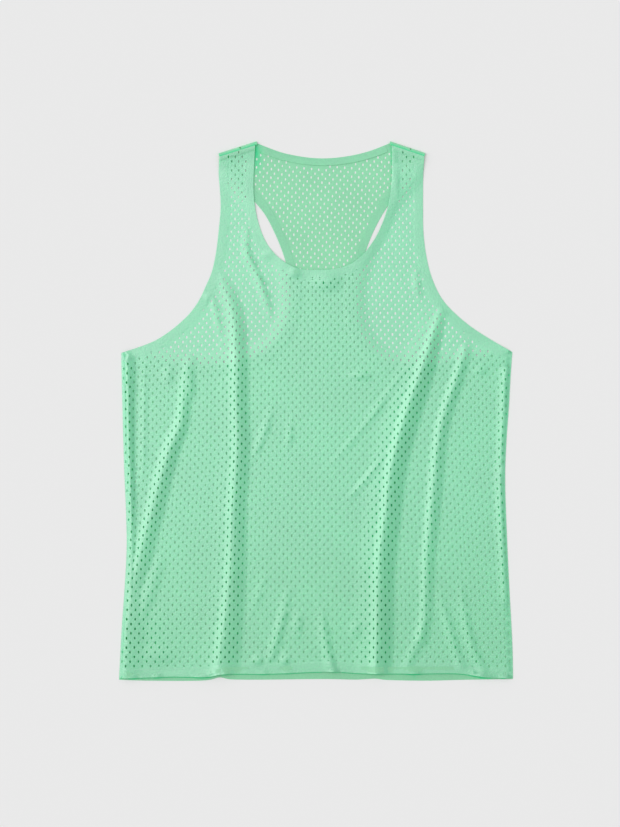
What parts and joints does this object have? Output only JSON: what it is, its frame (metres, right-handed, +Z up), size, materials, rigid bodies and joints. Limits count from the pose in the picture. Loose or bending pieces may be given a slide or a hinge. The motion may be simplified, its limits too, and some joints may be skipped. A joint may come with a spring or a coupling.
{
  "type": "running singlet",
  "caption": "Sleeveless running singlet of eyelet mesh with a scooped front, racer back and bonded edges, laid flat with its front up.",
  "frame": {"origin": "under the middle of the garment, on the surface that it lies on", "axes": "+Y from the hem to the neck, +X to the right as seen from above with the neck away, +Z up out of the front"},
  "size_m": [0.5116, 0.7009, 0.0091],
  "materials": {
    "eyelet_mesh": "matt pale green polyester mesh",
    "bonded_edge": "matt pale green polyester, closed by its bonding"
  },
  "bodies": {
    "root": {"back_panel": "eyelet_mesh", "front_panel": "eyelet_mesh", "back_neck_band": "bonded_edge", "back_right_arm_band": "bonded_edge", "back_left_arm_band": "bonded_edge", "back_hem_band": "bonded_edge", "front_neck_band": "bonded_edge", "front_right_arm_band": "bonded_edge", "front_left_arm_band": "bonded_edge", "front_hem_band": "bonded_edge"}
  },
  "joints": []
}
